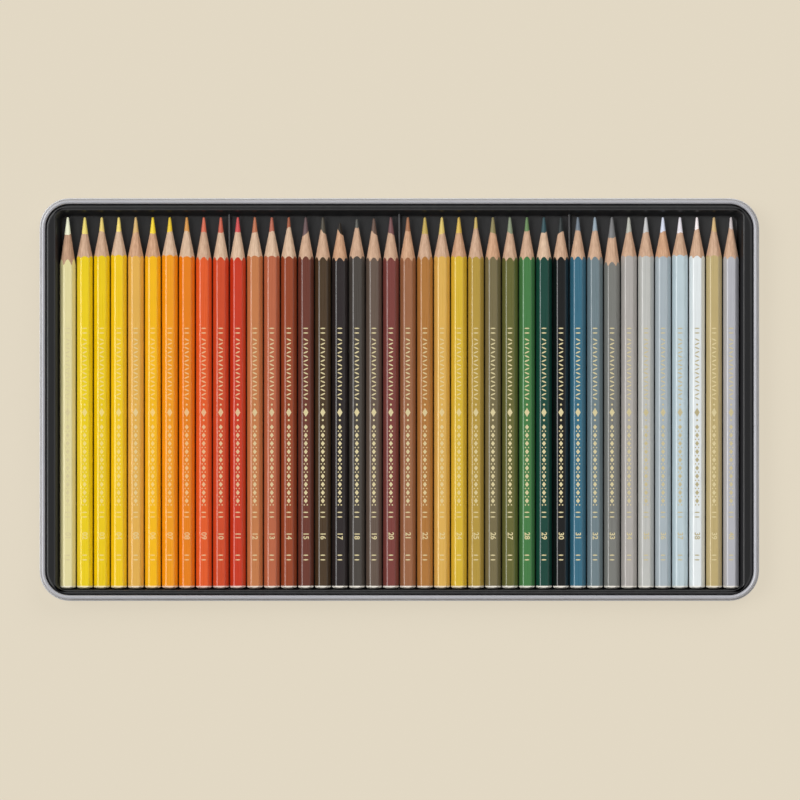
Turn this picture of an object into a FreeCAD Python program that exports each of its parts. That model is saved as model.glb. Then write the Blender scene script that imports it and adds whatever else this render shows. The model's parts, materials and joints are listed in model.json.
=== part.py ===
"""Watercolour pencil set: a row of hexagonal pencils in a black formed tray, inside a flat tin.

Frame: +X along the row of pencils, +Y from the pencils' butts to their points, +Z up.
The origin is on the surface that the set stands on, under the middle of the tin.
The lift-off lid is turned over and pushed under the tin, so the tin stands in it.
Lengths are in millimetres and angles in degrees.
"""
import FreeCAD
import Part
import math
import os

Vec = FreeCAD.Vector

# Pencils
pencil_count = 40
pencils_per_bay = 10
pencil_pitch = 8.1
pencil_length = 177.0
pencil_across_flats = 6.8
barrel_edge_radius = 0.8
butt_dome_height = 1.5
lead_diameter = 2.95
lead_point_length = 7.85
lead_tip_radius = 0.55
wood_point_angle = 11.3
# How much is worn off the leads that are shorter than the rest
point_wear = {17: 2.8, 18: 0.9, 19: 0.6}

# Formed tray
tray_sheet = 0.7
pocket_depth = 8.0
pocket_corner_radius = 3.5
pocket_side_gap = 0.45
pocket_butt_gap = 0.3
pocket_tip_gap = 1.8
side_draft = 18.0
butt_draft = 3.0
tip_draft = 17.0
flange_side = 4.6
flange_butt = 2.2
flange_tip = 2.7
flange_edge_radius = 1.0
mouth_edge_radius = 0.4
tray_skirt_lift = 1.2
rib_height = 2.0
rib_draft = 6.0
rib_clearance = 0.38

# Tinplate tin and lid
tin_sheet = 0.28
tray_clearance = 0.3
base_corner_radius = 11.5
base_edge_radius = 1.5
base_stand_width = 4.0
base_panel_rise = 0.8
panel_step_width = 1.5
bead_diameter = 2.0
bead_end_angle = -110.0
bead_above_flange = 1.3
lid_clearance = 0.2
lid_skirt_height = 8.0
lid_edge_radius = 1.2
lid_hem_height = 2.4
lid_rim_width = 6.0
lid_panel_rise = 0.6


def slope(angle):
    """Sideways run of a wall per unit of height, from its angle to the vertical."""
    return math.tan(math.radians(angle))


# Levels, from the standing surface up
lid_rim_level = lid_panel_rise
base_level = lid_rim_level + tin_sheet
base_panel_level = base_level + base_panel_rise
tray_level = base_panel_level + tin_sheet
pencil_level = tray_level + tray_sheet
flange_level = pencil_level + pocket_depth
bead_level = flange_level + bead_above_flange

# Pencil section: flats above and below, corners to the left and right
flat_half_height = pencil_across_flats / 2
flat_half_width = flat_half_height * slope(30)
sharp_corner_radius = pencil_across_flats / math.sqrt(3)
corner_reach = sharp_corner_radius - barrel_edge_radius * (2 / math.sqrt(3) - 1)
lead_radius = lead_diameter / 2
row_half_width = (pencil_count - 1) / 2 * pencil_pitch

# Pocket walls, where they pass the pencils at mid height, at the floor and at the mouth
height_above_axis = pocket_depth - flat_half_height
side_wall = row_half_width + corner_reach + pocket_side_gap
mouth_half_x = side_wall + height_above_axis * slope(side_draft)
floor_half_x = side_wall - flat_half_height * slope(side_draft)
butt_run_up = height_above_axis * slope(butt_draft)
butt_run_down = flat_half_height * slope(butt_draft)
tip_run_up = height_above_axis * slope(tip_draft)
tip_run_down = flat_half_height * slope(tip_draft)

# Tray outline, centred on the origin
tray_half_x = mouth_half_x + flange_side
butt_border = flange_butt + butt_run_up + pocket_butt_gap
tip_border = flange_tip + tip_run_up + pocket_tip_gap
tray_half_y = (butt_border + pencil_length + tip_border) / 2
butt_y = butt_border - tray_half_y
tip_y = butt_y + pencil_length
butt_wall = butt_y - pocket_butt_gap
tip_wall = tip_y + pocket_tip_gap

# Tin and lid outlines: the inner faces of their walls
base_half_x = tray_half_x + tray_clearance
base_half_y = tray_half_y + tray_clearance
lid_half_x = base_half_x + bead_diameter + lid_clearance
lid_half_y = base_half_y + bead_diameter + lid_clearance
lid_corner_radius = base_corner_radius + bead_diameter + lid_clearance
tray_corner_radius = base_corner_radius - tray_clearance


def around(centre, radius, angle):
    """Point on an upright circle in the X-Z plane."""
    turn = math.radians(angle)
    return centre + Vec(radius * math.cos(turn), 0, radius * math.sin(turn))


def profile(start, *steps):
    """Closed flat face; a step is the end of a line, or the middle and end of an arc."""
    edges = []
    here = start
    for step in steps + (start,):
        if isinstance(step, tuple):
            middle, end = step
            edges.append(Part.Arc(here, middle, end).toShape())
        else:
            end = step
            edges.append(Part.LineSegment(here, end).toShape())
        here = end
    return Part.Face(Part.Wire(edges))


def rounded_rectangle(x_low, x_high, y_low, y_high, radius, level):
    """Closed wire of a level rectangle with round corners."""
    corners = [
        (x_high - radius, y_low + radius, 270),
        (x_high - radius, y_high - radius, 0),
        (x_low + radius, y_high - radius, 90),
        (x_low + radius, y_low + radius, 180),
    ]
    arcs = []
    for x, y, first_angle in corners:
        points = []
        for angle in (first_angle, first_angle + 45, first_angle + 90):
            turn = math.radians(angle)
            points.append(Vec(x + radius * math.cos(turn), y + radius * math.sin(turn), level))
        arcs.append(Part.Arc(*points).toShape())
    edges = []
    for number, arc in enumerate(arcs):
        side_start = arcs[number - 1].lastVertex().Point
        side_end = arc.firstVertex().Point
        edges.append(Part.LineSegment(side_start, side_end).toShape())
        edges.append(arc)
    return Part.Wire(edges)


def plate(half_x, half_y, radius, level, thickness):
    """Level plate with round corners, centred on the origin."""
    outline = rounded_rectangle(-half_x, half_x, -half_y, half_y, radius, level)
    return Part.Face(outline).extrude(Vec(0, 0, thickness))


def swept_rim(section, half_x, half_y, radius):
    """Carry a wall section round a rectangle with round corners; X = 0 is the wall's inner face."""
    pieces = []
    for quarter in range(4):
        reach, run = (half_x, half_y - radius) if quarter % 2 == 0 else (half_y, half_x - radius)
        wall = section.translated(Vec(reach, -run, 0)).extrude(Vec(0, 2 * run, 0))
        axis = Vec(reach - radius, run, 0)
        corner = section.translated(Vec(reach, run, 0)).revolve(axis, Vec(0, 0, 1), 90)
        for piece in (wall, corner):
            piece.rotate(Vec(0, 0, 0), Vec(0, 0, 1), 90 * quarter)
            pieces.append(piece)
    return pieces


def joined(pieces):
    """One solid from touching pieces."""
    return pieces[0].multiFuse(pieces[1:]).removeSplitter().Solids[0]


def lid_solid():
    """Slip lid, upside down: embossed panel below, skirt up, its edge folded outward into a hem."""
    edge = Vec(-lid_edge_radius, 0, lid_rim_level + tin_sheet + lid_edge_radius)
    hem = Vec(tin_sheet, 0, lid_skirt_height - tin_sheet)
    hem_bottom = lid_skirt_height - lid_hem_height
    outer_radius = lid_edge_radius + tin_sheet
    step_x = -lid_rim_width
    panel_x = step_x - panel_step_width
    section = profile(
        Vec(panel_x, 0, 0),
        Vec(step_x, 0, lid_rim_level),
        around(edge, outer_radius, -90),
        (around(edge, outer_radius, -45), around(edge, outer_radius, 0)),
        Vec(tin_sheet, 0, hem_bottom),
        Vec(2 * tin_sheet, 0, hem_bottom),
        around(hem, tin_sheet, 0),
        (around(hem, tin_sheet, 90), around(hem, tin_sheet, 180)),
        around(edge, lid_edge_radius, 0),
        (around(edge, lid_edge_radius, -45), around(edge, lid_edge_radius, -90)),
        Vec(step_x, 0, lid_rim_level + tin_sheet),
        Vec(panel_x, 0, tin_sheet),
    )
    rim = swept_rim(section, lid_half_x, lid_half_y, lid_corner_radius)
    panel = plate(lid_half_x + panel_x, lid_half_y + panel_x, lid_corner_radius + panel_x, 0, tin_sheet)
    return joined(rim + [panel])


def base_solid():
    """Tin base: raised floor panel, upright wall, and its top edge curled outward into a bead."""
    edge = Vec(-base_edge_radius, 0, base_level + tin_sheet + base_edge_radius)
    outer_radius = base_edge_radius + tin_sheet
    bead_radius = bead_diameter / 2
    curl_radius = bead_radius - tin_sheet
    bead = Vec(bead_radius, 0, bead_level - bead_radius)
    bead_middle = (180 + bead_end_angle) / 2
    step_x = -base_edge_radius - base_stand_width
    panel_x = step_x - panel_step_width
    section = profile(
        Vec(panel_x, 0, base_panel_level),
        Vec(step_x, 0, base_level),
        around(edge, outer_radius, -90),
        (around(edge, outer_radius, -45), around(edge, outer_radius, 0)),
        around(bead, curl_radius, 180),
        (around(bead, curl_radius, bead_middle), around(bead, curl_radius, bead_end_angle)),
        around(bead, bead_radius, bead_end_angle),
        (around(bead, bead_radius, bead_middle), around(bead, bead_radius, 180)),
        around(edge, base_edge_radius, 0),
        (around(edge, base_edge_radius, -45), around(edge, base_edge_radius, -90)),
        Vec(step_x, 0, base_level + tin_sheet),
        Vec(panel_x, 0, base_panel_level + tin_sheet),
    )
    rim = swept_rim(section, base_half_x, base_half_y, base_corner_radius)
    panel = plate(base_half_x + panel_x, base_half_y + panel_x, base_corner_radius + panel_x,
                  base_panel_level, tin_sheet)
    return joined(rim + [panel])


def pocket_solid(grown, floor_level):
    """Room for the pencils with leaning walls, or the same grown outward by a sheet thickness."""
    radius = pocket_corner_radius + grown
    floor = rounded_rectangle(
        -floor_half_x - grown, floor_half_x + grown,
        butt_wall + butt_run_down - grown, tip_wall - tip_run_down + grown, radius, floor_level)
    mouth = rounded_rectangle(
        -mouth_half_x - grown, mouth_half_x + grown,
        butt_wall - butt_run_up - grown, tip_wall + tip_run_up + grown, radius, flange_level)
    return Part.makeLoft([floor, mouth], True, True)


def round_topped_block(shrunk, top_radius):
    """The tray's outline as a block from its skirt's edge up, shrunk by a sheet thickness."""
    skirt_level = tray_level + tray_skirt_lift
    block = plate(tray_half_x - shrunk, tray_half_y - shrunk, tray_corner_radius - shrunk,
                  skirt_level, flange_level - shrunk - skirt_level)
    top_edges = [edge for edge in block.Edges if edge.BoundBox.ZMin > flange_level - shrunk - 0.001]
    return block.makeFillet(top_radius, top_edges)


def rib_solid(x, pocket):
    """Thin rib on the pocket floor, in the gap between the lower slopes of two pencils."""
    gap_at_crest = pencil_pitch / 2 - flat_half_width - rib_height * slope(30)
    crest_half_width = gap_at_crest - rib_clearance
    foot_half_width = crest_half_width + rib_height * slope(rib_draft)
    crest_level = pencil_level + rib_height
    section = profile(
        Vec(x - foot_half_width, -tray_half_y, pencil_level),
        Vec(x + foot_half_width, -tray_half_y, pencil_level),
        Vec(x + crest_half_width, -tray_half_y, crest_level),
        Vec(x - crest_half_width, -tray_half_y, crest_level),
    )
    return section.extrude(Vec(0, 2 * tray_half_y, 0)).common(pocket)


def tray_solid():
    """Formed tray: flange and skirt, hollow below, with one ribbed pocket."""
    pocket = pocket_solid(0, pencil_level)
    pocket_outside = pocket_solid(tray_sheet, tray_level)
    outside = round_topped_block(0, flange_edge_radius).fuse(pocket_outside)
    hollow = round_topped_block(tray_sheet, flange_edge_radius - tray_sheet).cut(pocket_outside)
    tray = outside.cut(hollow).cut(pocket)
    mouth_edges = []
    for edge in tray.Edges:
        room = edge.BoundBox
        level = room.ZMin > flange_level - 0.001
        inside = room.XMax < mouth_half_x + 0.001 and room.XMin > -mouth_half_x - 0.001
        if level and inside and room.YMax < tray_half_y - flange_tip + 0.001:
            if room.YMin > -tray_half_y + flange_butt - 0.001:
                mouth_edges.append(edge)
    tray = tray.makeFillet(mouth_edge_radius, mouth_edges)
    ribs = []
    for bay in range(1, pencil_count // pencils_per_bay):
        x = (bay * pencils_per_bay - pencil_count / 2) * pencil_pitch
        ribs.append(rib_solid(x, pocket))
    return joined([tray] + ribs)


def dome_height(radius):
    """How far the butt's dome has risen from its crown at this distance from the axis."""
    sphere = (corner_reach ** 2 + butt_dome_height ** 2) / (2 * butt_dome_height)
    return sphere - math.sqrt(sphere ** 2 - radius ** 2)


def turned_envelope(wear):
    """Round solid that gives the barrel its domed butt and its sharpened point, along +Y."""
    reach = sharp_corner_radius
    length = pencil_length - wear
    lead_base = pencil_length - lead_point_length
    cone_start = lead_base - (reach - lead_radius) / slope(wood_point_angle)
    tip_centre = length - lead_tip_radius
    # The lead's cone runs from the wood's end and touches the round tip
    to_tip = tip_centre - lead_base
    lean = math.acos(lead_tip_radius / math.hypot(lead_radius, to_tip)) - math.atan2(to_tip, lead_radius)
    halfway = (lean + math.pi / 2) / 2
    touch = Vec(lead_tip_radius * math.cos(lean), tip_centre + lead_tip_radius * math.sin(lean), 0)
    round_tip = Vec(lead_tip_radius * math.cos(halfway),
                    tip_centre + lead_tip_radius * math.sin(halfway), 0)
    section = profile(
        Vec(0, 0, 0),
        (Vec(reach / 2, dome_height(reach / 2), 0), Vec(reach, dome_height(reach), 0)),
        Vec(reach, cone_start, 0),
        Vec(lead_radius, lead_base, 0),
        touch,
        (round_tip, Vec(0, length, 0)),
    )
    return section.revolve(Vec(0, 0, 0), Vec(0, 1, 0), 360)


def pencil_solids(wear):
    """Wooden casing and worn lead of one pencil, its axis on the Y axis and its butt at the origin."""
    corners = []
    for side in range(7):
        corners.append(around(Vec(0, 0, 0), sharp_corner_radius, 60 * side))
    prism = Part.Face(Part.makePolygon(corners)).extrude(Vec(0, pencil_length, 0))
    long_edges = [edge for edge in prism.Edges if edge.BoundBox.YLength > pencil_length / 2]
    body = prism.makeFillet(barrel_edge_radius, long_edges).common(turned_envelope(wear))
    bore = Part.makeCylinder(lead_radius, pencil_length - butt_dome_height * 2,
                             Vec(0, butt_dome_height * 2, 0), Vec(0, 1, 0))
    return body.cut(bore).Solids[0], body.common(bore).Solids[0]


def write_part(name, *solids):
    """Save one named piece of the set."""
    for solid in solids:
        if not solid.isValid():
            raise ValueError("not a valid solid: " + name)
    shape = solids[0] if len(solids) == 1 else Part.makeCompound(list(solids))
    shape.exportStep("parts/" + name + ".step")
    room = shape.BoundBox
    print(name, len(solids), "solids", round(shape.Volume, 1), "mm3",
          [round(value, 2) for value in (room.XMin, room.XMax, room.YMin, room.YMax, room.ZMin, room.ZMax)])


os.makedirs("parts", exist_ok=True)
write_part("lid", lid_solid())
write_part("base_tin", base_solid())
write_part("tray", tray_solid())
for number in range(1, pencil_count + 1):
    place = Vec((number - (pencil_count + 1) / 2) * pencil_pitch, butt_y, pencil_level + flat_half_height)
    casing, lead = pencil_solids(point_wear.get(number, 0))
    write_part(f"pencil_{number:02d}", casing.translated(place), lead.translated(place))
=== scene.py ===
"""Dresses the watercolour pencil set: a flat tin, its black formed tray and a row of lacquered pencils.

Lengths are in metres, in the part's own frame: +X along the row of pencils, +Y towards their points, +Z up.
"""

import json
import logging
import math
import random
from collections.abc import Sequence
from dataclasses import dataclass
from enum import Enum
from typing import Any

import bmesh
import bpy
from mathutils import Matrix, Vector

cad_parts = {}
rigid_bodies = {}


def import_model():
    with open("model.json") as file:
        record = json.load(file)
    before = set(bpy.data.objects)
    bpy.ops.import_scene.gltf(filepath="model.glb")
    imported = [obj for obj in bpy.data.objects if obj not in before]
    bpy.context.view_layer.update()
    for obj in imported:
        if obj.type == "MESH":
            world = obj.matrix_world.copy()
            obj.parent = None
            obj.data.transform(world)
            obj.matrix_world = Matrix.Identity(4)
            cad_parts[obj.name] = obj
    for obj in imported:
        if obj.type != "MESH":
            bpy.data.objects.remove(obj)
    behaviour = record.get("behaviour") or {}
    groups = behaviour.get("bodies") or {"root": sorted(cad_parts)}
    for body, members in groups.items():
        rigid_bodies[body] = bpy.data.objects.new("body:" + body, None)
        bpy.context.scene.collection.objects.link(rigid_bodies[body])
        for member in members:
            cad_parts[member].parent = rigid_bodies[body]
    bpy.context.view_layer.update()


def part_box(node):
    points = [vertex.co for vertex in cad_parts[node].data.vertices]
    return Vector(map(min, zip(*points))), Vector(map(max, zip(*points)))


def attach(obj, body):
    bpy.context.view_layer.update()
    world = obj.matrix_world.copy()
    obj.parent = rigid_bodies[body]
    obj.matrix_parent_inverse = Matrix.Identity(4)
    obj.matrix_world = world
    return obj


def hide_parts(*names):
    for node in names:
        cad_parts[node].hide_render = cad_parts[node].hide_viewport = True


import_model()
LOG = logging.getLogger("pencil_set")

Material = bpy.types.Material
Mesh = bmesh.types.BMesh
Socket = bpy.types.NodeSocket
Colour = tuple[float, float, float, float]
ChartValues = tuple[int, int, int]
Profile = list[tuple[float, float]]

MM = 0.001
SHARP_ANGLE = math.radians(38)
WHITE: Colour = (1.0, 1.0, 1.0, 1.0)


def chart(*values: int) -> Colour:
    """Turns a colour chart's red, green and blue into a linear colour.

    Args:
        values: The three values, from 0 to 255.

    Returns:
        The linear colour with full alpha.
    """
    linear = []
    for value in values:
        share = value / 255
        linear.append(share / 12.92 if share <= 0.04045 else ((share + 0.055) / 1.055) ** 2.4)
    return (*linear, 1.0)


def mixed(first: Colour, second: Colour, share: float) -> Colour:
    """Mixes two colours; a share of 1 is all of the second."""
    parts = [a + (b - a) * share for a, b in zip(first[:3], second)]
    return (*parts, 1.0)


def toned(colour: Colour, factor: float) -> Colour:
    """The same colour, lighter or darker."""
    return (*[part * factor for part in colour[:3]], 1.0)


def dimmed(colour: Colour, gloss: float) -> Colour:
    """Takes away the light that a gloss surface adds to its own colour."""
    return (*[max(part - gloss, 0.15 * part) for part in colour[:3]], 1.0)


def arc(u: float, v: float, radius: float, start: float, end: float, steps: int) -> Profile:
    """Samples an arc.

    Args:
        u: Centre, across.
        v: Centre, upward.
        radius: Radius.
        start: First angle in degrees.
        end: Last angle in degrees.
        steps: How many equal steps to take.

    Returns:
        The points, both ends included.
    """
    points = []
    for step in range(steps + 1):
        turn = math.radians(start + (end - start) * step / steps)
        points.append((u + radius * math.cos(turn), v + radius * math.sin(turn)))
    return points


def linked(name: str, data: Any) -> bpy.types.Object:
    """Puts a new object with this data into the scene.

    Args:
        name: Its name.
        data: Its mesh, lamp or camera.

    Returns:
        The object.
    """
    holder = bpy.data.objects.new(name, data)
    bpy.context.scene.collection.objects.link(holder)
    return holder


class Level:
    """A number that varies over a surface, with the arithmetic that shader nodes do."""

    def __init__(self, tree: "NodeTree", socket: Socket) -> None:
        """Wraps a socket of one node tree."""
        self.tree = tree
        self.socket = socket

    def joined(self, operation: str, first: Any, second: Any) -> "Level":
        """Adds a Math node for two numbers or sockets."""
        node = self.tree.node("ShaderNodeMath", {"operation": operation}, {0: first, 1: second})
        return Level(self.tree, node.outputs[0])

    def __add__(self, other: Any) -> "Level":
        """Adds a number or another level."""
        return self.joined("ADD", self, other)

    __radd__ = __add__

    def __sub__(self, other: Any) -> "Level":
        """Takes a number or another level away."""
        return self.joined("SUBTRACT", self, other)

    def __rsub__(self, other: Any) -> "Level":
        """Takes this level away from a number."""
        return self.joined("SUBTRACT", other, self)

    def __mul__(self, other: Any) -> "Level":
        """Multiplies by a number or another level."""
        return self.joined("MULTIPLY", self, other)

    def ramp(self, low: float, high: float) -> "Level":
        """Rises smoothly from 0 at low to 1 at high."""
        inputs = {"Value": self, "From Min": low, "From Max": high}
        node = self.tree.node("ShaderNodeMapRange", {"interpolation_type": "SMOOTHSTEP"}, inputs)
        return Level(self.tree, node.outputs[0])


class NodeTree:
    """The nodes of a material or of the world."""

    def __init__(self, tree: bpy.types.NodeTree) -> None:
        """Takes hold of a tree."""
        self.nodes = tree.nodes
        self.links = tree.links

    def node(self, kind: str, settings: dict[str, Any] | None = None,
             inputs: dict[str | int, Any] | None = None) -> bpy.types.Node:
        """Adds a node, its settings first and then its sockets.

        Args:
            kind: The node's type.
            settings: Attributes of the node.
            inputs: Values or links for its sockets, by name or place.

        Returns:
            The new node.
        """
        node = self.nodes.new(kind)
        for name, value in (settings or {}).items():
            setattr(node, name, value)
        self.feed(node, inputs or {})
        return node

    def feed(self, node: bpy.types.Node, inputs: dict[str | int, Any]) -> None:
        """Sets a node's sockets.

        Args:
            node: The node.
            inputs: Values or links, by the socket's name or place.
        """
        for key, value in inputs.items():
            source = value.socket if isinstance(value, Level) else value
            if isinstance(source, Socket):
                self.links.new(source, node.inputs[key])
            else:
                node.inputs[key].default_value = source


class Shader(NodeTree):
    """One material and the nodes that colour it."""

    def __init__(self, name: str) -> None:
        """Starts a material with a plain Principled surface.

        Args:
            name: The material's name.
        """
        self.material = bpy.data.materials.new(name)
        self.material.use_nodes = True
        super().__init__(self.material.node_tree)
        self.surface = self.nodes["Principled BSDF"]

    def dress(self, **inputs: Any) -> Material:
        """Sets the Principled surface's sockets, with _ for a space in their names."""
        self.feed(self.surface, {name.replace("_", " "): value for name, value in inputs.items()})
        return self.material

    def noise(self, scale: float, detail: float = 2.0, roughness: float = 0.5,
              shift: Sequence[float] = (0.0, 0.0, 0.0), stretch: Sequence[float] = (1.0, 1.0, 1.0)) -> Level:
        """Adds a noise pattern on Object coordinates.

        Args:
            scale: Repeats to a metre.
            detail: Octaves.
            roughness: Weight of the finer octaves.
            shift: Moves the pattern.
            stretch: Scale along each axis; a small one draws the pattern out.

        Returns:
            The noise, from 0 to 1.
        """
        where = self.node("ShaderNodeTexCoord").outputs["Object"]
        mapping = self.node("ShaderNodeMapping", {}, {"Vector": where, "Location": shift, "Scale": stretch})
        inputs = {"Vector": mapping.outputs[0], "Scale": scale, "Detail": detail, "Roughness": roughness}
        return Level(self, self.node("ShaderNodeTexNoise", {}, inputs).outputs[0])

    def attribute(self, name: str) -> Level:
        """Reads a number that the mesh keeps under this name."""
        node = self.node("ShaderNodeAttribute", {"attribute_name": name})
        return Level(self, node.outputs["Fac"])

    def blend(self, share: Any, first: Any, second: Any) -> Socket:
        """Mixes two colours; a share of 1 is all of the second."""
        inputs = {0: share, 6: first, 7: second}
        return self.node("ShaderNodeMix", {"data_type": "RGBA"}, inputs).outputs[2]

    def bump(self, height: Level, distance: float) -> Socket:
        """Turns a height pattern into a normal; distance is its depth in metres."""
        inputs = {"Height": height, "Distance": distance, "Strength": 1.0}
        return self.node("ShaderNodeBump", {}, inputs).outputs[0]


class Wood(Enum):
    """Shade of a casing's bare wood, as the light and the dark of its grain."""

    PALE = (chart(218, 188, 160), chart(196, 164, 136))
    MIDDLE = (chart(208, 173, 144), chart(184, 148, 121))
    WARM = (chart(210, 168, 134), chart(184, 140, 108))
    DARK = (chart(194, 156, 126), chart(166, 130, 104))


@dataclass(frozen=True)
class Sharpening:
    """How a point was cut.

    The scallop is the share of a full hexagon's scallops along the lacquer's edge, the setback how far that
    edge lies behind the usual one, bared how much more lead shows and the slant how far its edge leans.
    """

    scallop: float
    setback: float
    bared: float = -0.6 * MM
    slant: float = 0.0


class Cut(Enum):
    """The kinds of cut in the row."""

    NEAT = Sharpening(0.35, setback=0.8 * MM)
    SCALLOPED = Sharpening(0.85, setback=1.6 * MM)
    TOOTHED = Sharpening(1.3, setback=2.4 * MM, bared=1.0 * MM)
    LONG = Sharpening(0.9, setback=3.8 * MM, bared=1.8 * MM)
    SHORT = Sharpening(0.6, setback=1.0 * MM, bared=-2.3 * MM)
    LEANING_LEFT = Sharpening(0.85, setback=1.6 * MM, slant=-1.0 * MM)
    LEANING_RIGHT = Sharpening(0.85, setback=1.6 * MM, slant=1.1 * MM)
    OBLIQUE = Sharpening(0.85, setback=1.6 * MM, slant=-1.9 * MM)


@dataclass(frozen=True)
class Lacquer:
    """One pencil's coat and lead, as a colour chart gives them, its bare wood and the cut of its point."""

    name: str
    coat: ChartValues
    lead: ChartValues
    wood: Wood = Wood.MIDDLE
    cut: Cut = Cut.SCALLOPED


LACQUERS = (
    Lacquer("ivory", (225, 215, 160), (235, 235, 205), Wood.DARK, Cut.TOOTHED),
    Lacquer("lemon", (235, 205, 35), (230, 210, 115), cut=Cut.NEAT),
    Lacquer("canary", (235, 200, 10), (225, 200, 115), cut=Cut.NEAT),
    Lacquer("yellow", (240, 200, 40), (240, 215, 120), Wood.PALE, Cut.NEAT),
    Lacquer("pale_ochre", (225, 175, 85), (210, 175, 115), Wood.WARM, Cut.NEAT),
    Lacquer("golden_yellow", (245, 185, 10), (240, 210, 60), Wood.WARM, Cut.NEAT),
    Lacquer("light_orange", (240, 155, 40), (230, 195, 60), Wood.PALE, Cut.NEAT),
    Lacquer("orange", (230, 130, 25), (210, 150, 80), Wood.PALE, Cut.NEAT),
    Lacquer("flame", (225, 95, 50), (210, 110, 85)),
    Lacquer("vermilion", (205, 80, 50), (195, 100, 80), Wood.PALE),
    Lacquer("scarlet", (200, 65, 45), (205, 85, 85), Wood.PALE),
    Lacquer("apricot", (195, 125, 80), (185, 115, 85), Wood.PALE, Cut.NEAT),
    Lacquer("terracotta", (185, 105, 75), (180, 105, 85), Wood.PALE, Cut.NEAT),
    Lacquer("russet", (150, 75, 50), (160, 95, 70), Wood.PALE, Cut.SHORT),
    Lacquer("mahogany", (110, 65, 55), (105, 85, 85), cut=Cut.LEANING_RIGHT),
    Lacquer("umber", (80, 65, 50), (85, 80, 70), cut=Cut.LEANING_LEFT),
    Lacquer("charcoal", (55, 50, 50), (55, 50, 45), Wood.WARM, Cut.OBLIQUE),
    Lacquer("slate", (80, 75, 70), (95, 95, 90), cut=Cut.SHORT),
    Lacquer("taupe", (105, 90, 80), (105, 85, 75), cut=Cut.LEANING_LEFT),
    Lacquer("maroon", (125, 70, 65), (120, 85, 85), cut=Cut.LEANING_LEFT),
    Lacquer("cinnamon", (155, 105, 75), (165, 115, 85), Wood.WARM),
    Lacquer("caramel", (175, 120, 65), (190, 165, 90)),
    Lacquer("sand", (220, 175, 90), (215, 190, 110), cut=Cut.NEAT),
    Lacquer("mustard", (215, 180, 60), (210, 175, 85), Wood.WARM, Cut.NEAT),
    Lacquer("olive_yellow", (180, 150, 70), (195, 170, 100), cut=Cut.SHORT),
    Lacquer("khaki", (120, 110, 80), (140, 130, 90), Wood.WARM),
    Lacquer("moss", (105, 105, 60), (135, 145, 120), cut=Cut.LEANING_LEFT),
    Lacquer("green", (75, 125, 75), (105, 135, 90)),
    Lacquer("pine", (40, 75, 65), (60, 85, 90), Wood.PALE),
    Lacquer("black", (35, 40, 40), (55, 60, 60), cut=Cut.LEANING_RIGHT),
    Lacquer("blue", (65, 110, 130), (115, 125, 135)),
    Lacquer("steel_blue", (115, 130, 135), (150, 165, 175)),
    Lacquer("grey", (125, 125, 120), (120, 120, 120), cut=Cut.LONG),
    Lacquer("warm_grey", (175, 170, 165), (180, 180, 170), cut=Cut.NEAT),
    Lacquer("light_grey", (190, 190, 185), (195, 195, 195), cut=Cut.NEAT),
    Lacquer("blue_grey", (170, 180, 185), (210, 215, 230), Wood.WARM, Cut.NEAT),
    Lacquer("ice_blue", (190, 205, 210), (225, 220, 225), cut=Cut.NEAT),
    Lacquer("white", (225, 230, 230), (245, 235, 235), cut=Cut.SHORT),
    Lacquer("gold", (190, 170, 120), (205, 175, 125), cut=Cut.NEAT),
    Lacquer("silver", (180, 180, 185), (200, 190, 190), cut=Cut.SHORT),
)


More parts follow.
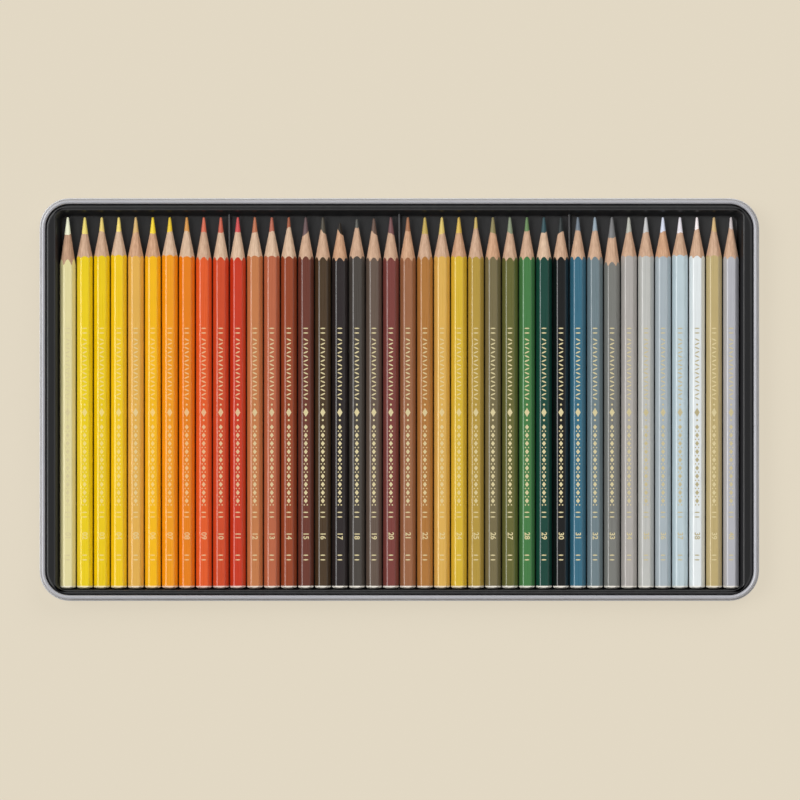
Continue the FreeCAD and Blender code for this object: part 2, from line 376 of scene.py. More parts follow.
@dataclass(frozen=True)
class PencilFinish:
    """The materials of one pencil, whose number shifts their patterns."""

    number: int
    lacquer: Lacquer
    gloss: float = 0.018
    dip: Colour = chart(242, 236, 224)
    dip_tint: float = 0.5
    gold: Colour = chart(236, 222, 172)
    rubbed_gold: Colour = chart(208, 186, 134)
    foil_tint: float = 0.6
    foil_shade: float = 0.5

    def coat_material(self) -> Material:
        """Gloss lacquer with faint draw marks along the barrel and thinner colour on the edges.

        Returns:
            The material.
        """
        shader = Shader(f"lacquer_{self.number:02d}_{self.lacquer.name}")
        shift = (0.0, 0.31 * self.number, 0.0)
        streaks = shader.noise(1500, 3.0, shift=shift, stretch=(1.0, 0.02, 1.0))
        clouds = shader.noise(90, shift=shift)
        peel = shader.noise(2200, shift=shift)
        ridge = shader.attribute("ridge")
        tone = (streaks - 0.5) * 0.4 + (clouds - 0.5) * 0.8 + 0.5
        pigment = dimmed(chart(*self.lacquer.coat), self.gloss)
        body = shader.blend(tone, toned(pigment, 0.93), toned(pigment, 1.07))
        thin = mixed(toned(pigment, 1.2), WHITE, 0.02)
        return shader.dress(
            Base_Color=shader.blend(ridge * 0.15, body, thin),
            Roughness=0.24 + streaks * 0.08 + ridge * 0.06,
            Coat_Weight=1.0,
            Coat_Roughness=0.08,
            Normal=shader.bump(peel + streaks * 0.3, 0.003 * MM),
        )

    def lead_material(self) -> Material:
        """Waxy pigment with a fine grain and the scratches that sharpening leaves.

        Returns:
            The material.
        """
        shader = Shader(f"lead_{self.number:02d}_{self.lacquer.name}")
        shift = (0.0, 0.17 * self.number, 0.0)
        grain = shader.noise(5200, 3.0, 0.6, shift)
        scratches = shader.noise(4200, shift=shift, stretch=(1.0, 0.08, 1.0))
        tone = grain * 0.6 + scratches * 0.4
        pigment = dimmed(chart(*self.lacquer.lead), self.gloss)
        return shader.dress(
            Base_Color=shader.blend(tone, toned(pigment, 0.82), toned(pigment, 1.22)),
            Roughness=0.42 + grain * 0.25,
            Normal=shader.bump(grain + scratches, 0.03 * MM),
        )

    def wood_material(self) -> Material:
        """Bare sharpened wood: long grain, dark pores and faint cutter marks.

        Returns:
            The material.
        """
        shader = Shader(f"wood_{self.number:02d}")
        light, dark = self.lacquer.wood.value
        shift = (0.013 * self.number, 0.23 * self.number, 0.0)
        grain = shader.noise(1500, 4.0, 0.6, shift, (1.0, 0.07, 1.0))
        pores = shader.noise(4200, 3.0, 0.65, shift, (1.0, 0.03, 1.0))
        cutter = shader.noise(2600, shift=shift, stretch=(0.05, 1.0, 0.05))
        body = shader.blend(grain.ramp(0.3, 0.72), dark, light)
        return shader.dress(
            Base_Color=shader.blend(pores.ramp(0.56, 0.72) * 0.3, body, toned(dark, 0.7)),
            Roughness=0.62 + grain * 0.2,
            Normal=shader.bump(grain * 0.6 + cutter * 0.4 - pores * 0.3, 0.05 * MM),
        )

    def dip_material(self) -> Material:
        """Thin pale coat over the dipped butt, which lets a light lacquer show more than a dark one.

        Returns:
            The material.
        """
        shader = Shader(f"dip_{self.number:02d}")
        coat = chart(*self.lacquer.coat)
        shown = self.dip_tint * max(coat[:3])
        cream, thin = (mixed(self.dip, coat, share) for share in (shown, shown + 0.2))
        clouds = shader.noise(700, 3.0, shift=(0.0, 0.0, 0.07 * self.number))
        return shader.dress(
            Base_Color=shader.blend(clouds.ramp(0.45, 0.8) * 0.5, cream, thin),
            Roughness=0.28 + clouds * 0.12,
            Coat_Weight=0.3,
            Coat_Roughness=0.1,
        )

    def foil_material(self) -> Material:
        """Hot-stamped gold foil, a little worn, which takes after a vivid coat and is dull on a pale one.

        Returns:
            The material.
        """
        shader = Shader(f"foil_{self.number:02d}")
        coat = chart(*self.lacquer.coat)
        weakest = min(coat[:3])
        tint = self.foil_tint * (max(coat[:3]) - weakest)
        shade = 1.0 - self.foil_shade * weakest
        gold, rubbed = (toned(mixed(foil, coat, tint), shade) for foil in (self.gold, self.rubbed_gold))
        wear = shader.noise(2400, 3.0)
        return shader.dress(
            Base_Color=shader.blend(wear.ramp(0.45, 0.75) * 0.6, gold, rubbed),
            Metallic=0.3 - 0.5 * tint,
            Roughness=0.32 + wear * 0.2,
        )


@dataclass(frozen=True)
class TinplateFinish:
    """Varnished tinplate with the fine lines of rolling, handling smears and short scratches."""

    name: str = "tinplate"
    bright: Colour = chart(190, 190, 194)
    dull: Colour = chart(166, 166, 172)

    def material(self) -> Material:
        """Dresses the sheet.

        Returns:
            The material.
        """
        shader = Shader(self.name)
        rolling = shader.noise(1900, 3.0, stretch=(0.02, 1.0, 1.0))
        smears = shader.noise(26, 4.0, 0.6, (0.4, 0.1, 0.0))
        scratches = shader.noise(640, 3.0, 0.7, (0.2, 0.7, 0.0), (0.05, 1.0, 0.4))
        marks = scratches.ramp(0.66, 0.74)
        return shader.dress(
            Base_Color=shader.blend(smears * 0.5 + marks * 0.3, self.bright, self.dull),
            Metallic=0.4,
            Roughness=0.42 + smears * 0.12 + rolling * 0.06 + marks * 0.12,
            Normal=shader.bump(rolling * 0.5 + marks, 0.002 * MM),
        )


@dataclass(frozen=True)
class TrayFinish:
    """Black formed plastic with a fine matt grain, scuffs and a little dust, greyer on edge tops, rib crests
    and floor as wear and painted highlight.
    """

    black: Colour = chart(24, 24, 25)
    scuffed: Colour = chart(58, 58, 58)
    # Grey of the edge tops, rib crests and floor: partly wear, partly painted highlight.
    rubbed: Colour = chart(84, 84, 84)

    def material(self) -> Material:
        """Dresses the sheet.

        Returns:
            The material.
        """
        shader = Shader("tray_plastic")
        grain = shader.noise(3400, 2.0, 0.6)
        scuffs = shader.noise(420, 4.0, 0.65, (0.3, 0.0, 0.0), (1.0, 0.15, 1.0))
        specks = shader.noise(1700, 1.0, shift=(0.9, 0.2, 0.0)).ramp(0.74, 0.8)
        # Painted highlight and wear: lighter grey where the mesh marks edge tops, rib crests and the floor.
        worn = shader.attribute("worn") * (0.5 + scuffs)
        body = shader.blend(scuffs.ramp(0.55, 0.85) * 0.2 + specks * 0.35, self.black, self.scuffed)
        return shader.dress(
            Base_Color=shader.blend(worn, body, self.rubbed),
            Roughness=0.28 + grain * 0.14 + specks * 0.2 + worn * 0.1,
            Normal=shader.bump(grain, 0.01 * MM),
        )


class LoopSkin:
    """A closed skin, extruded from loop to loop between two capped ends."""

    def __init__(self, mesh: Mesh, points: Sequence[Vector], material: int = 0,
                 worn: float = 0.0) -> None:
        """Caps the first loop.

        Args:
            mesh: The mesh to add to, which may keep a number for wear and painted highlight at each vertex.
            points: The first loop.
            material: The cap's material slot.
            worn: How much wear and painted highlight the loop takes, from 0 to 1.
        """
        self.mesh = mesh
        self.wear = mesh.verts.layers.float.get("worn")
        self.rim = bmesh.ops.create_circle(mesh, cap_ends=True, segments=len(points), radius=1.0)["verts"]
        self.rim[0].link_faces[0].material_index = material
        self.move_rim(points, worn)

    def move_rim(self, points: Sequence[Vector], worn: float) -> None:
        """Puts the rim's vertices on a loop of points.

        Args:
            points: The loop.
            worn: How much wear and painted highlight the loop takes, from 0 to 1.
        """
        for vert, point in zip(self.rim, points):
            vert.co = point
            if self.wear is not None:
                vert[self.wear] = worn

    def grow(self, points: Sequence[Vector], material: int = 0, worn: float = 0.0) -> None:
        """Extrudes the rim to another loop with as many points.

        Args:
            points: The loop.
            material: The new faces' material slot.
            worn: How much wear and painted highlight the loop takes, from 0 to 1.
        """
        edges = [self.mesh.edges.get((self.rim[at - 1], self.rim[at])) for at in range(len(self.rim))]
        made = bmesh.ops.extrude_edge_only(self.mesh, edges=edges)["geom"]
        old = set(self.rim)
        partner = {}
        for item in made:
            if isinstance(item, bmesh.types.BMVert):
                for edge in item.link_edges:
                    if edge.other_vert(item) in old:
                        partner[edge.other_vert(item)] = item
            elif isinstance(item, bmesh.types.BMFace):
                item.material_index = material
        self.rim = [partner[vert] for vert in self.rim]
        self.move_rim(points, worn)

    def cap(self) -> None:
        """Closes the last loop."""
        bmesh.ops.contextual_create(self.mesh, geom=self.rim)


@dataclass(frozen=True)
class RoundedRectangle:
    """A level rectangle with round corners."""

    x_low: float
    x_high: float
    y_low: float
    y_high: float
    radius: float
    corner_steps: int = 10

    def grown(self, margin: float) -> "RoundedRectangle":
        """The same rectangle with every side moved outward."""
        return RoundedRectangle(self.x_low - margin, self.x_high + margin, self.y_low - margin,
                                self.y_high + margin, self.radius + margin)

    def loop(self, level: float) -> list[Vector]:
        """Points round the rectangle.

        Args:
            level: Height.

        Returns:
            The points, anticlockwise.
        """
        inset = self.radius
        corners = (
            (self.x_high - inset, self.y_low + inset, 270),
            (self.x_high - inset, self.y_high - inset, 0),
            (self.x_low + inset, self.y_high - inset, 90),
            (self.x_low + inset, self.y_low + inset, 180),
        )
        points = []
        for x, y, first in corners:
            for point in arc(x, y, inset, first, first + 90, self.corner_steps):
                points.append(Vector((*point, level)))
        return points


class Piece:
    """What every sub-assembly shares: the CAD node that it stands for, its body and its material slot."""

    node: str
    body: str
    slot: str

    def place(self, name: str, mesh: Mesh, *materials: Material) -> None:
        """Turns a finished mesh into an object that rides on the body.

        Args:
            name: The object's name.
            mesh: Its mesh, which is used up.
            materials: Its materials, in the order of their slots.
        """
        bmesh.ops.recalc_face_normals(mesh, faces=mesh.faces)
        data = bpy.data.meshes.new(name)
        mesh.to_mesh(data)
        mesh.free()
        data.shade_smooth()
        data.set_sharp_from_angle(angle=SHARP_ANGLE)
        for material in materials:
            data.materials.append(material)
        piece = linked(name, data)
        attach(piece, self.body)
        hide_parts(self.node)
        LOG.info("%s: %d faces on %s", name, len(data.polygons), self.body)


@dataclass
class TinHalf(Piece):
    """Half of the tin: one sheet from an embossed panel over a flat ring and round an edge up to its rim.

    The overhang is how far the rim stands out from the wall's inner face, and the panel's lift is counted
    from the ring.
    """

    node: str
    body: str
    finish: TinplateFinish
    overhang: float
    corner: float
    edge: float
    ring: float
    panel_lift: float
    step: float = 1.5 * MM
    sheet: float = 0.28 * MM
    edge_steps: int = 6
    slot: str = "tinplate"

    def __post_init__(self) -> None:
        """Finds this half in the frame."""
        self.low, self.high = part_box(self.node)

    def rim(self) -> Profile:
        """The rim's section, from the wall's inner face to its outer face."""
        raise NotImplementedError

    def section(self) -> Profile:
        """The sheet's section, from the panel's inner face round to its outer face.

        Returns:
            Points across the wall and up, with 0 at the wall's inner face.
        """
        ring_level = self.low[2] + max(0.0, -self.panel_lift)
        panel_level = ring_level + self.panel_lift
        edge_level = ring_level + self.sheet + self.edge
        panel_at = -self.ring - self.step
        return [
            (panel_at, panel_level + self.sheet),
            (-self.ring, ring_level + self.sheet),
            *arc(-self.edge, edge_level, self.edge, -90, 0, self.edge_steps),
            *self.rim(),
            *arc(-self.edge, edge_level, self.edge + self.sheet, 0, -90, self.edge_steps),
            (-self.ring, ring_level),
            (panel_at, panel_level),
        ]

    def build(self) -> None:
        """Carries the section round the wall, closes it with two panels and dresses it."""
        x_low, y_low = (value + self.overhang for value in self.low[:2])
        x_high, y_high = (value - self.overhang for value in self.high[:2])
        wall = RoundedRectangle(x_low, x_high, y_low, y_high, self.corner)
        first, *rest = [wall.grown(across).loop(level) for across, level in self.section()]
        mesh = bmesh.new()
        skin = LoopSkin(mesh, first)
        for loop in rest:
            skin.grow(loop)
        skin.cap()
        self.place(f"{self.node}_sheet", mesh, self.finish.material())


@dataclass
class TinBase(TinHalf):
    """The tin's lower half, with a raised floor panel and a bead curled outward."""

    node: str = "base_tin"
    body: str = "base"
    finish: TinplateFinish = TinplateFinish()
    overhang: float = 2.0 * MM
    corner: float = 11.5 * MM
    edge: float = 1.5 * MM
    ring: float = 5.5 * MM
    panel_lift: float = 0.8 * MM
    bead_end: float = -110.0
    bead_steps: int = 20
    curl_steps: int = 14

    def rim(self) -> Profile:
        """The bead's section.

        Returns:
            Points round the outside of the bead and back round its inside.
        """
        radius = self.overhang / 2
        level = self.high[2] - radius
        outside = arc(radius, level, radius, 180, self.bead_end, self.bead_steps)
        inside = arc(radius, level, radius - self.sheet, self.bead_end, 180, self.curl_steps)
        return outside + inside


@dataclass
class SlipLid(TinHalf):
    """The lid, upside down under the tin, with a sunk panel and a hem folded outward."""

    node: str = "lid"
    body: str = "lid"
    # Partly painted light: a lighter copy of the base's tinplate, which lifts the hem that the base's bead
    # shades.
    finish: TinplateFinish = TinplateFinish("lid_varnish_painted_light", chart(222, 222, 225), chart(202, 202, 206))
    overhang: float = 0.56 * MM
    corner: float = 13.7 * MM
    edge: float = 1.2 * MM
    ring: float = 6.0 * MM
    panel_lift: float = -0.6 * MM
    hem: float = 2.4 * MM
    fold: float = 0.37 * MM
    fold_steps: int = 8

    def rim(self) -> Profile:
        """The hem's section.

        Returns:
            Points over the fold, down the hem and back under it.
        """
        top = self.high[2]
        over = arc(self.overhang - self.fold, top - self.fold, self.fold, 180, 0, self.fold_steps)
        return [*over, (self.overhang, top - self.hem), (self.sheet, top - self.hem)]


@dataclass
class FormedTray(Piece):
    """The black tray: a flange with a skirt, and one pocket with low ribs on its floor."""

    node: str = "tray"
    body: str = "tray"
    slot: str = "tray_plastic"
    finish: TrayFinish = TrayFinish()
    sheet: float = 0.7 * MM
    corner: float = 11.2 * MM
    pocket_corner: float = 3.5 * MM
    flange_side: float = 4.6 * MM
    flange_butt: float = 2.2 * MM
    flange_tip: float = 2.7 * MM
    pocket_depth: float = 8.0 * MM
    side_draft: float = 18.0
    butt_draft: float = 3.0
    tip_draft: float = 17.0
    flange_edge: float = 1.0 * MM
    mouth_edge: float = 0.4 * MM
    floor_edge: float = 0.6 * MM
    floor_turn: float = -70.0
    floor_steps: int = 4
    mouth_steps: int = 4
    flange_steps: int = 6
    skirt_steps: int = 3
    skirt_lift: float = 1.2 * MM
    # Wear and painted highlight on the floor and on the tops of the rounded edges, and the width over which
    # it fades.
    floor_wear_and_sheen: float = 0.2
    edge_wear_and_sheen: float = 0.35
    wear_and_sheen_width: float = 0.5 * MM
    bay: int = 10
    rib_foot: float = 0.762 * MM
    rib_crest: float = 0.552 * MM
    rib_steps: int = 8
    rib_lean: float = 6.0
    rib_height: float = 2.0 * MM
    rib_sink: float = 0.2 * MM
    # Wear and painted highlight at the rib's crest.
    rib_wear_and_sheen: float = 0.7

    def __post_init__(self) -> None:
        """Finds the tray's levels, its outline and its pocket's mouth in the frame."""
        self.mesh = bmesh.new()
        self.mesh.verts.layers.float.new("worn")
        low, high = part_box(self.node)
        self.bottom = low[2]
        self.top = high[2]
        self.floor = self.top - self.pocket_depth
        self.outline = RoundedRectangle(low[0], high[0], low[1], high[1], self.corner)
        self.mouth = RoundedRectangle(low[0] + self.flange_side, high[0] - self.flange_side,
                                      low[1] + self.flange_butt, high[1] - self.flange_tip,
                                      self.pocket_corner)

    def pocket(self, depth: float) -> RoundedRectangle:
        """The pocket's outline inside its drafted walls.

        Args:
            depth: How far below the mouth.

        Returns:
            The outline there.
        """
        drafts = (self.side_draft, self.butt_draft, self.tip_draft)
        side, butt, tip = (depth * math.tan(math.radians(draft)) for draft in drafts)
        mouth = self.mouth
        return RoundedRectangle(mouth.x_low + side, mouth.x_high - side, mouth.y_low + butt,
                                mouth.y_high - tip, mouth.radius)

    def build(self) -> None:
        """Builds the tray, with a rib between each two bays, and dresses it."""
        self.build_sheet()
        for last in range(self.bay, len(LACQUERS), self.bay):
            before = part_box(f"pencil_{last:02d}")[1][0]
            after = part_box(f"pencil_{last + 1:02d}")[0][0]
            self.build_rib((before + after) / 2)
        self.place("formed_tray", self.mesh, self.finish.material())

    def build_sheet(self) -> None:
        """Builds the sheet: pocket, flange and skirt above, then the same again below."""
        depth = self.pocket_depth
        top = self.top
        skirt = self.bottom + self.skirt_lift
        edge = self.floor_edge
        # Painted highlight and wear: the flat floor is marked a little greyer than its walls.
        skin = LoopSkin(self.mesh, self.pocket(depth).grown(-edge).loop(self.floor), worn=self.floor_wear_and_sheen)
        for inward, up in arc(-edge, edge, edge, self.floor_turn, 0, self.floor_steps):
            skin.grow(self.pocket(depth - up).grown(inward).loop(self.floor + up))
        edge = self.mouth_edge
        # Painted highlight and wear: greyer towards the top of the mouth's rounded edge, fading across the
        # flange beside it.
        for outward, up in arc(edge, -edge, edge, 180, 90, self.mouth_steps):
            skin.grow(self.pocket(-up).grown(outward).loop(top + up), worn=self.edge_wear_and_sheen * outward / edge)
        skin.grow(self.mouth.grown(edge + self.wear_and_sheen_width).loop(top))
        edge = self.flange_edge
        skin.grow(self.outline.grown(-edge - self.wear_and_sheen_width).loop(top))
        # Painted highlight and wear: greyer at the top of the flange's rounded outer edge.
        for outward, up in arc(-edge, -edge, edge, 90, 0, self.flange_steps):
            skin.grow(self.outline.grown(outward).loop(top + up), worn=-self.edge_wear_and_sheen * outward / edge)
        skin.grow(self.outline.loop(skirt))
        inside = self.outline.grown(-self.sheet)
        skin.grow(inside.loop(skirt))
        edge = self.flange_edge - self.sheet
        for outward, up in arc(-edge, -edge, edge, 0, 90, self.skirt_steps):
            skin.grow(inside.grown(outward).loop(top - self.sheet + up))
        skin.grow(self.mouth.grown(self.sheet).loop(top - self.sheet))
        skin.grow(self.pocket(depth).grown(self.sheet).loop(self.floor))
        skin.grow(self.pocket(depth).loop(self.bottom))
        skin.cap()

    def build_rib(self, x: float) -> None:
        """Builds one rib from the butt wall to the tip wall, rounded along its crest.

        Args:
            x: The rib's middle.
        """
        lean = self.rib_lean
        middle = self.rib_height - self.rib_crest
        crest = arc(0.0, middle, self.rib_crest, lean, 180 - lean, self.rib_steps)
        section = [(self.rib_foot, -self.rib_sink), (self.rib_foot, 0.0), *crest,
                   (-self.rib_foot, 0.0), (-self.rib_foot, -self.rib_sink)]
        butt_end = []
        tip_end = []
        for across, up in section:
            wall = self.pocket(self.pocket_depth - up).grown(self.sheet / 3)
            butt_end.append(Vector((x + across, wall.y_low, self.floor + up)))
            tip_end.append(Vector((x + across, wall.y_high, self.floor + up)))
        skin = LoopSkin(self.mesh, butt_end)
        verts = list(skin.rim)
        skin.grow(tip_end)
        skin.cap()
        # Painted highlight and wear: each rib grows greyer towards its crest.
        for vert in verts + skin.rim:
            vert[skin.wear] = self.rib_wear_and_sheen * max(0.0, (vert.co.z - self.floor) / self.rib_height) ** 2


@dataclass
class Pencil(Piece):
    """One hexagonal pencil, sharpened at one end and dipped at the other."""

    number: int
    lacquer: Lacquer
    length: float = 177.0 * MM
    across_flats: float = 6.8 * MM
    edge: float = 0.8 * MM
    dome: float = 0.85 * MM
    dome_power: float = 4.0
    dome_shares: tuple[float, ...] = (0.1, 0.35, 0.6, 0.78, 0.9, 0.97, 1.0)
    shoulder: float = 0.12 * MM
    shoulder_power: float = 2.6
    dip_end: float = 1.4 * MM
    coat: float = 0.05 * MM
    lead_radius: float = 1.475 * MM
    lead_point: float = 7.85 * MM
    lead_wander: float = 0.2 * MM
    tip_radius: float = 0.55 * MM
    tip_turn: float = 82.0
    wood_angle: float = 11.3
    bared_spread: float = 0.8 * MM
    setback_spread: float = 0.4 * MM
    slant_spread: float = 0.3 * MM
    hidden_share: float = 0.5
    flat_steps: int = 8
    edge_steps: int = 4
    length_steps: int = 4
    tip_steps: int = 6

    def __post_init__(self) -> None:
        """Finds the pencil's place in the frame and works out its section and its cut."""
        self.node = f"pencil_{self.number:02d}"
        self.body = self.node
        self.slot = f"lacquer_{self.number:02d}"
        self.looks = PencilFinish(self.number, self.lacquer)
        low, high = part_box(self.node)
        self.butt = low[1]
        self.tip = high[1]
        self.x = (low[0] + high[0]) / 2
        self.z = (low[2] + high[2]) / 2
        self.half = self.across_flats / 2
        self.lead_base = self.butt + self.length - self.lead_point
        self.section = self.barrel_section()
        self.reach = max(spoke.length for spoke in self.section)
        self.slope = math.tan(math.radians(self.wood_angle))
        cut = self.lacquer.cut.value
        chance = random.Random(self.number)
        self.bared = cut.bared + chance.uniform(-self.bared_spread, self.bared_spread)
        self.setback = cut.setback + chance.uniform(-self.setback_spread, self.setback_spread)
        self.slant = cut.slant + chance.uniform(-self.slant_spread, self.slant_spread)
        self.wander_start = chance.uniform(0, math.tau)
        self.wood_end = self.lead_edge()

    def barrel_section(self) -> list[Vector]:
        """The barrel's hexagon with rounded edges, a flat on top.

        Returns:
            Spokes from the axis to the surface, as X and Z.
        """
        flat_half = (self.half - self.edge) * math.tan(math.radians(30))
        spokes = []
        for side in range(6):
            facing = math.radians(90 + 60 * side)
            normal = Vector((math.cos(facing), math.sin(facing)))
            along = Vector((-normal.y, normal.x))
            for step in range(self.flat_steps + 1):
                spokes.append(normal * self.half + along * flat_half * (2 * step / self.flat_steps - 1))
            corner = normal * (self.half - self.edge) + along * flat_half
            for step in range(1, self.edge_steps):
                turn = facing + math.radians(60 * step / self.edge_steps)
                spokes.append(corner + self.edge * Vector((math.cos(turn), math.sin(turn))))
        return spokes

    def ring(self, places: Sequence[tuple[Vector, float]]) -> list[Vector]:
        """Puts spokes with their distances along the axis into the frame."""
        return [Vector((self.x + spoke.x, y, self.z + spoke.y)) for spoke, y in places]

    def butt_point(self, spoke: Vector, share: float) -> tuple[Vector, float]:
        """A point of the domed butt.

        Args:
            spoke: From the axis to the barrel's face.
            share: How far out along the spoke.

        Returns:
            The shortened spoke and the point's distance along the axis.
        """
        power = self.shoulder_power
        dome = self.dome * (spoke.length * share / self.reach) ** self.dome_power
        shoulder = self.shoulder * (1 - (1 - share ** power) ** (1 / power))
        return spoke * share, self.butt + dome + shoulder

    def scallop(self, spoke: Vector) -> float:
        """Where the sharpener's cone cuts the barrel along one spoke."""
        middle = self.lead_base - (self.half - self.lead_radius) / self.slope - self.setback
        return middle - self.lacquer.cut.value.scallop * (spoke.length - self.half) / self.slope

    def bare_cuts(self) -> list[tuple[Vector, float]]:
        """Spokes to the wood just under the lacquer, each with its distance to the cut."""
        return [(spoke * (1 - self.coat / spoke.length), self.scallop(spoke)) for spoke in self.section]

    def lead_edge(self) -> list[Vector]:
        """The loop where the wood ends on the lead, which leans and wanders a little.

        Returns:
            The loop's points.
        """
        places = []
        for spoke in self.section:
            turn = math.atan2(spoke.y, spoke.x)
            ripple = math.sin(2 * turn + self.wander_start) + 0.5 * math.sin(5 * turn - self.wander_start)
            shift = self.lead_wander * ripple + self.slant * math.cos(turn) - self.bared
            radius = self.lead_radius - shift * self.slope
            places.append((spoke.normalized() * radius, self.lead_base + shift))
        return self.ring(places)

    def build_barrel(self) -> None:
        """Builds the lacquered barrel with its dipped butt and its stamped foil."""
        coat_slot, dip_slot, foil_slot = range(3)
        mesh = bmesh.new()
        rings = [self.ring([self.butt_point(spoke, share) for spoke in self.section])
                 for share in self.dome_shares]
        rings.append(self.ring([(spoke, self.butt + self.dip_end) for spoke in self.section]))
        skin = LoopSkin(mesh, rings[0], dip_slot)
        for ring in rings[1:]:
            skin.grow(ring, dip_slot)
        cuts = [(spoke, self.scallop(spoke)) for spoke in self.section]
        for step in range(1, self.length_steps):
            share = step / self.length_steps
            places = [(spoke, self.butt + (cut - self.butt) * share) for spoke, cut in cuts]
            skin.grow(self.ring(places), coat_slot)
        skin.grow(self.ring([(spoke, cut - self.coat) for spoke, cut in cuts]), coat_slot)
        skin.grow(self.ring(self.bare_cuts()), coat_slot)
        hidden = [(spoke * self.hidden_share, cut - self.coat) for spoke, cut in cuts]
        skin.grow(self.ring(hidden), coat_slot)
        skin.cap()
        self.mark_ridges(mesh)
        FoilPrint(self, mesh, foil_slot).stamp()
        looks = self.looks
        self.place(f"barrel_{self.number:02d}", mesh, looks.coat_material(), looks.dip_material(),
                   looks.foil_material())

    def mark_ridges(self, mesh: Mesh) -> None:
        """Marks the barrel's rounded edges with a number that the lacquer reads.

        Args:
            mesh: The barrel's mesh.
        """
        ridge = mesh.verts.layers.float.new("ridge")
        for vert in mesh.verts:
            spread = math.hypot(vert.co.x - self.x, vert.co.z - self.z)
            vert[ridge] = max(0.0, (spread - self.half) / (self.reach - self.half)) ** 3

    def build_point(self) -> None:
        """Builds the bare wood of the point."""
        mesh = bmesh.new()
        cuts = self.bare_cuts()
        outer = self.ring(cuts)
        hidden = [(spoke * self.hidden_share, cut - self.coat) for spoke, cut in cuts]
        skin = LoopSkin(mesh, self.ring(hidden))
        skin.grow(outer)
        for step in range(1, self.length_steps + 1):
            skin.grow([start.lerp(end, step / self.length_steps) for start, end in zip(outer, self.wood_end)])
        middle = Vector((self.x, self.lead_base - self.bared, self.z))
        skin.grow([middle.lerp(point, self.hidden_share) for point in self.wood_end])
        skin.cap()
        self.place(f"point_{self.number:02d}", mesh, self.looks.wood_material())

    def build_lead(self) -> None:
        """Builds the sharpened lead."""
        mesh = bmesh.new()
        tip_middle = self.tip - self.tip_radius
        to_tip = tip_middle - self.lead_base
        lean = math.acos(self.tip_radius / math.hypot(self.lead_radius, to_tip))
        lean -= math.atan2(to_tip, self.lead_radius)
        middle = Vector((self.x, self.lead_base - self.bared - self.coat, self.z))
        skin = LoopSkin(mesh, [middle.lerp(point, self.hidden_share) for point in self.wood_end])
        skin.grow(self.wood_end)
        start = math.degrees(lean)
        for radius, along in arc(0.0, tip_middle, self.tip_radius, start, self.tip_turn, self.tip_steps):
            skin.grow(self.ring([(spoke.normalized() * radius, along) for spoke in self.section]))
        skin.cap()
        self.place(f"lead_{self.number:02d}", mesh, self.looks.lead_material())

    def build(self) -> None:
        """Builds and dresses the whole pencil."""
        self.build_barrel()
        self.build_point()
        self.build_lead()


class Motif(Enum):
    """The shapes in the print: half length along the barrel, half width and corners; four make a diamond."""

    BAR = (0.32 * MM, 1.25 * MM, 8)
    STROKE = (0.34 * MM, 1.25 * MM, 8)
    CENTRE = (2.2 * MM, 1.25 * MM, 4)
    CENTRE_DOT = (0.5 * MM, 0.5 * MM, 12)
    LINK = (1.25 * MM, 0.95 * MM, 4)
    LINK_DOT = (0.34 * MM, 0.34 * MM, 12)


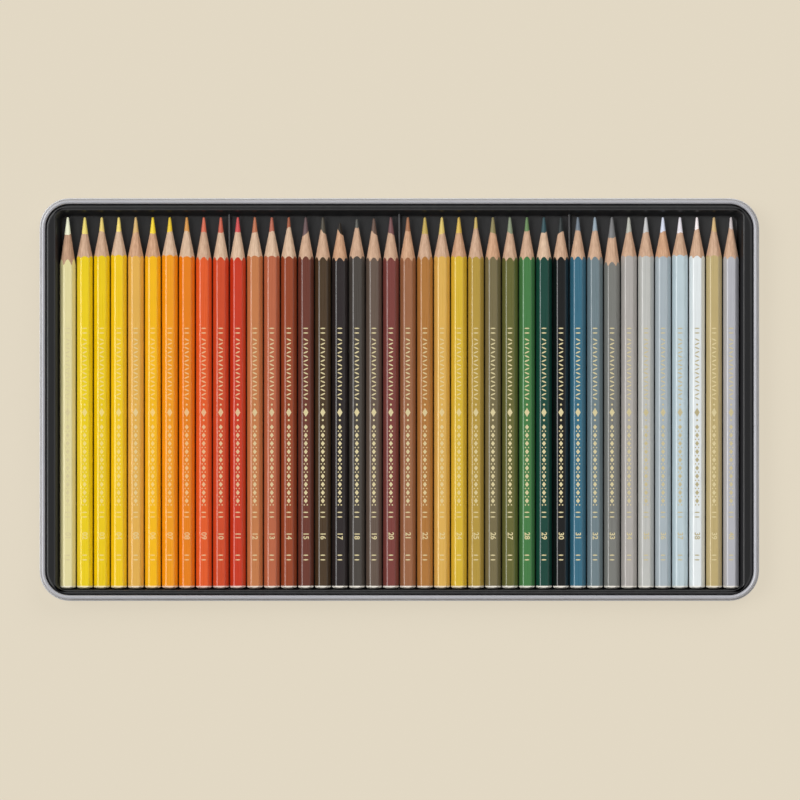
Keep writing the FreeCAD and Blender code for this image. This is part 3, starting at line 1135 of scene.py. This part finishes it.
@dataclass
class FoilPrint:
    """The foil on a barrel's top flat: bars, a zigzag, one large diamond, a chain of them and a number."""

    pencil: Pencil
    mesh: Mesh
    slot: int
    depth: float = 0.03 * MM
    proud: float = 0.012 * MM
    bars: tuple[float, ...] = (124.0 * MM, 121.8 * MM, 36.4 * MM, 34.2 * MM, 16.0 * MM, 13.8 * MM)
    zigzag_start: float = 118.6 * MM
    zigzag_step: float = 2.0 * MM
    zigzag_count: int = 15
    zigzag_lean: float = 24.0
    centre_at: float = 84.0 * MM
    centre_gap: float = 3.7 * MM
    chain_start: float = 77.0 * MM
    chain_step: float = 3.9 * MM
    chain_count: int = 10
    chain_spread: float = 0.72 * MM
    number_at: float = 25.2 * MM
    number_size: float = 3.5 * MM
    number_weight: float = 0.07 * MM

    def spot(self, along: float, across: float, sunk: float) -> Matrix:
        """A place on the top flat, from the butt, from the flat's middle and down from the foil's face."""
        level = self.pencil.z + self.pencil.half + self.proud - sunk
        return Matrix.Translation((self.pencil.x + across, self.pencil.butt + along, level))

    def plate(self, motif: Motif, along: float, across: float = 0.0, lean: float = 0.0) -> None:
        """Stamps one small plate.

        Args:
            motif: Its shape.
            along: Distance from the butt.
            across: Distance from the flat's middle.
            lean: Turn in degrees.
        """
        long, wide, corners = motif.value
        turn = Matrix.Rotation(math.radians(lean), 4, "Z")
        stretch = Matrix.Diagonal((wide, long, 1.0, 1.0))
        place = self.spot(along, across, 0.0) @ turn @ stretch
        verts = bmesh.ops.create_circle(self.mesh, cap_ends=True, segments=corners, radius=1.0,
                                        matrix=place)["verts"]
        face = verts[0].link_faces[0]
        made = bmesh.ops.extrude_face_region(self.mesh, geom=[face], use_keep_orig=True)["geom"]
        lower = [item for item in made if isinstance(item, bmesh.types.BMVert)]
        bmesh.ops.translate(self.mesh, verts=lower, vec=(0.0, 0.0, -self.depth))
        for vert in verts + lower:
            for side in vert.link_faces:
                side.material_index = self.slot

    def stamp(self) -> None:
        """Stamps the whole print."""
        for along in self.bars:
            self.plate(Motif.BAR, along)
        for stroke in range(self.zigzag_count):
            along = self.zigzag_start - stroke * self.zigzag_step
            self.plate(Motif.STROKE, along, lean=self.zigzag_lean if stroke % 2 else -self.zigzag_lean)
        self.plate(Motif.CENTRE, self.centre_at)
        for side in (-1, 1):
            self.plate(Motif.CENTRE_DOT, self.centre_at + side * self.centre_gap)
        for link in range(self.chain_count):
            along = self.chain_start - link * self.chain_step
            self.plate(Motif.LINK, along)
            for side in (-1, 1):
                self.plate(Motif.LINK_DOT, along - self.chain_step / 2, side * self.chain_spread)
        self.stamp_number()

    def stamp_number(self) -> None:
        """Stamps the pencil's plain number, read from the point towards the butt."""
        text = bpy.data.curves.new("number", "FONT")
        text.body = f"{self.pencil.number:02d}"
        text.size = self.number_size
        text.extrude = self.depth / 2
        text.offset = self.number_weight
        text.align_x = "CENTER"
        text.align_y = "CENTER"
        holder = bpy.data.objects.new("number", text)
        plate = bpy.data.meshes.new_from_object(holder)
        turn = Matrix.Rotation(math.radians(-90), 4, "Z")
        plate.transform(self.spot(self.number_at, 0.0, self.depth / 2) @ turn)
        before = len(self.mesh.faces)
        self.mesh.from_mesh(plate)
        self.mesh.faces.ensure_lookup_table()
        for face in self.mesh.faces[before:]:
            face.material_index = self.slot
        bpy.data.batch_remove([holder, text, plate])


@dataclass
class Studio:
    """The floor, the light and the camera straight above."""

    floor_size: float = 12.0
    floor_drop: float = 0.05 * MM
    floor_colour: Colour = chart(225, 215, 195)
    floor_glow: float = 0.85
    wall_light: float = 0.65
    wall_slant: float = 0.25
    horizon_light: float = 0.26
    horizon_band: tuple[float, float] = (0.05, 0.5)
    ceiling_light: float = 0.17
    ceiling_band: tuple[float, float] = (0.45, 0.93)
    key_light: float = 1.75
    key_from: tuple[float, float, float] = (-1.0, 0.3, 1.35)
    fill_light: float = 1.25
    fill_from: tuple[float, float, float] = (0.6, 0.9, 1.0)
    lamp_angle: float = 38.0
    camera_height: float = 6.0
    aim_level: float = 10.0 * MM
    frame_width: float = 380.85 * MM
    aim: tuple[float, float] = (0.3 * MM, -0.2 * MM)
    sensor: float = 36.0

    def build(self) -> None:
        """Sets the stage."""
        self.build_floor()
        self.build_world()
        self.add_light("key", self.key_from, self.key_light)
        fill = self.add_light("fill", self.fill_from, self.fill_light)
        fill.visible_glossy = False
        self.build_camera()
        bpy.context.scene.view_settings.view_transform = "Standard"

    def build_floor(self) -> None:
        """Lays a plain pale floor."""
        mesh = bmesh.new()
        bmesh.ops.create_grid(mesh, x_segments=1, y_segments=1, size=self.floor_size / 2,
                              matrix=Matrix.Translation((0.0, 0.0, -self.floor_drop)))
        data = bpy.data.meshes.new("floor")
        mesh.to_mesh(data)
        mesh.free()
        data.materials.append(self.floor_material())
        linked("floor", data)

    def floor_material(self) -> Material:
        """A matt floor that glows a little by itself, so that it is even and its shadow faint.

        Returns:
            The material.
        """
        shader = Shader("floor")
        shader.dress(Base_Color=self.floor_colour, Roughness=0.9, Specular_IOR_Level=0.1)
        rays = shader.node("ShaderNodeLightPath").outputs
        seen = sum(Level(shader, rays[f"Is {kind} Ray"]) for kind in ("Camera", "Glossy", "Transmission"))
        glow = shader.node("ShaderNodeEmission", {}, {"Color": self.floor_colour, "Strength": 1.0})
        inputs = {0: seen * self.floor_glow, 1: shader.surface.outputs[0], 2: glow.outputs[0]}
        both = shader.node("ShaderNodeMixShader", {}, inputs)
        shader.feed(shader.nodes["Material Output"], {"Surface": both.outputs[0]})
        return shader.material

    def build_world(self) -> None:
        """Lights the room, more from its walls than from its ceiling and most from its left wall."""
        world = bpy.data.worlds.new("room")
        world.use_nodes = True
        tree = NodeTree(world.node_tree)
        direction = tree.node("ShaderNodeTexCoord").outputs["Generated"]
        split = tree.node("ShaderNodeSeparateXYZ", {}, {0: direction})
        right = Level(tree, split.outputs["X"])
        up = Level(tree, split.outputs["Z"])
        wall = self.wall_light - right * self.wall_slant
        wall = self.horizon_light + (wall - self.horizon_light) * up.ramp(*self.horizon_band)
        light = wall + (self.ceiling_light - wall) * up.ramp(*self.ceiling_band)
        tree.feed(tree.nodes["Background"], {"Color": WHITE, "Strength": light})
        bpy.context.scene.world = world

    def add_light(self, name: str, place: Sequence[float], strength: float) -> bpy.types.Object:
        """Adds a soft, far lamp that lights the whole set evenly.

        Args:
            name: The lamp's name.
            place: Where its light comes from.
            strength: Its strength.

        Returns:
            The lamp.
        """
        lamp = bpy.data.lights.new(name, "SUN")
        lamp.angle = math.radians(self.lamp_angle)
        lamp.energy = strength
        holder = linked(name, lamp)
        holder.location = place
        holder.rotation_euler = (-Vector(place)).to_track_quat("-Z", "Y").to_euler()
        return holder

    def build_camera(self) -> None:
        """Hangs the camera straight above with a long lens, the points at the top of the picture."""
        camera = bpy.data.cameras.new("camera")
        camera.sensor_width = self.sensor
        camera.lens = self.sensor * (self.camera_height - self.aim_level) / self.frame_width
        holder = linked("camera", camera)
        holder.location = (*self.aim, self.camera_height)
        bpy.context.scene.camera = holder


def main() -> None:
    """Builds the set, piece by piece, and the studio around it."""
    logging.basicConfig(level=logging.INFO)
    SlipLid().build()
    TinBase().build()
    FormedTray().build()
    for number, lacquer in enumerate(LACQUERS, start=1):
        Pencil(number, lacquer).build()
    Studio().build()


if __name__ == "__main__":
    main()
